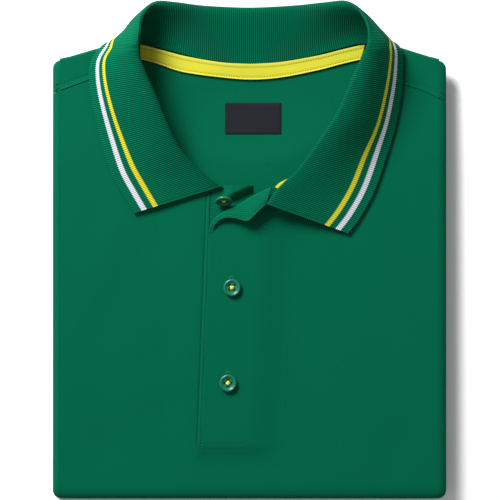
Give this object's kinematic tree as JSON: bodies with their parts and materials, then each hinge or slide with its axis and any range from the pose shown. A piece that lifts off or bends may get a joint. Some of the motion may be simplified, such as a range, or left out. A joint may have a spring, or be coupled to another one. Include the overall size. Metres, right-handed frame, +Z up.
{
  "type": "folded polo shirt",
  "caption": "Short-sleeved knit polo shirt in a flat retail fold, face up, with a tipped rib collar standing open and a buttoned placket.",
  "frame": {"origin": "centre of the folded shirt in plan, on the surface that it lies on", "axes": "+X to the wearer's left, +Y from the bottom fold to the collar, +Z up out of the face of the shirt"},
  "size_m": [0.2756, 0.3484, 0.0424],
  "materials": {
    "body_knit": "fine matt pique knit",
    "collar_knit": "flat rib knit with two tipping stripes",
    "tape": "woven herringbone tape",
    "button": "satin",
    "label": "matt printed patch"
  },
  "bodies": {
    "root": {"front": "body_knit", "back": "body_knit", "folded_layers": "body_knit", "sleeve_left": "body_knit", "sleeve_right": "body_knit", "collar": "collar_knit", "neck_tape": "tape", "neck_tape_end": "tape", "placket_upper": "body_knit", "placket_under": "body_knit", "button_top": "button", "button_middle": "button", "button_bottom": "button", "neck_label": "label"}
  },
  "joints": []
}
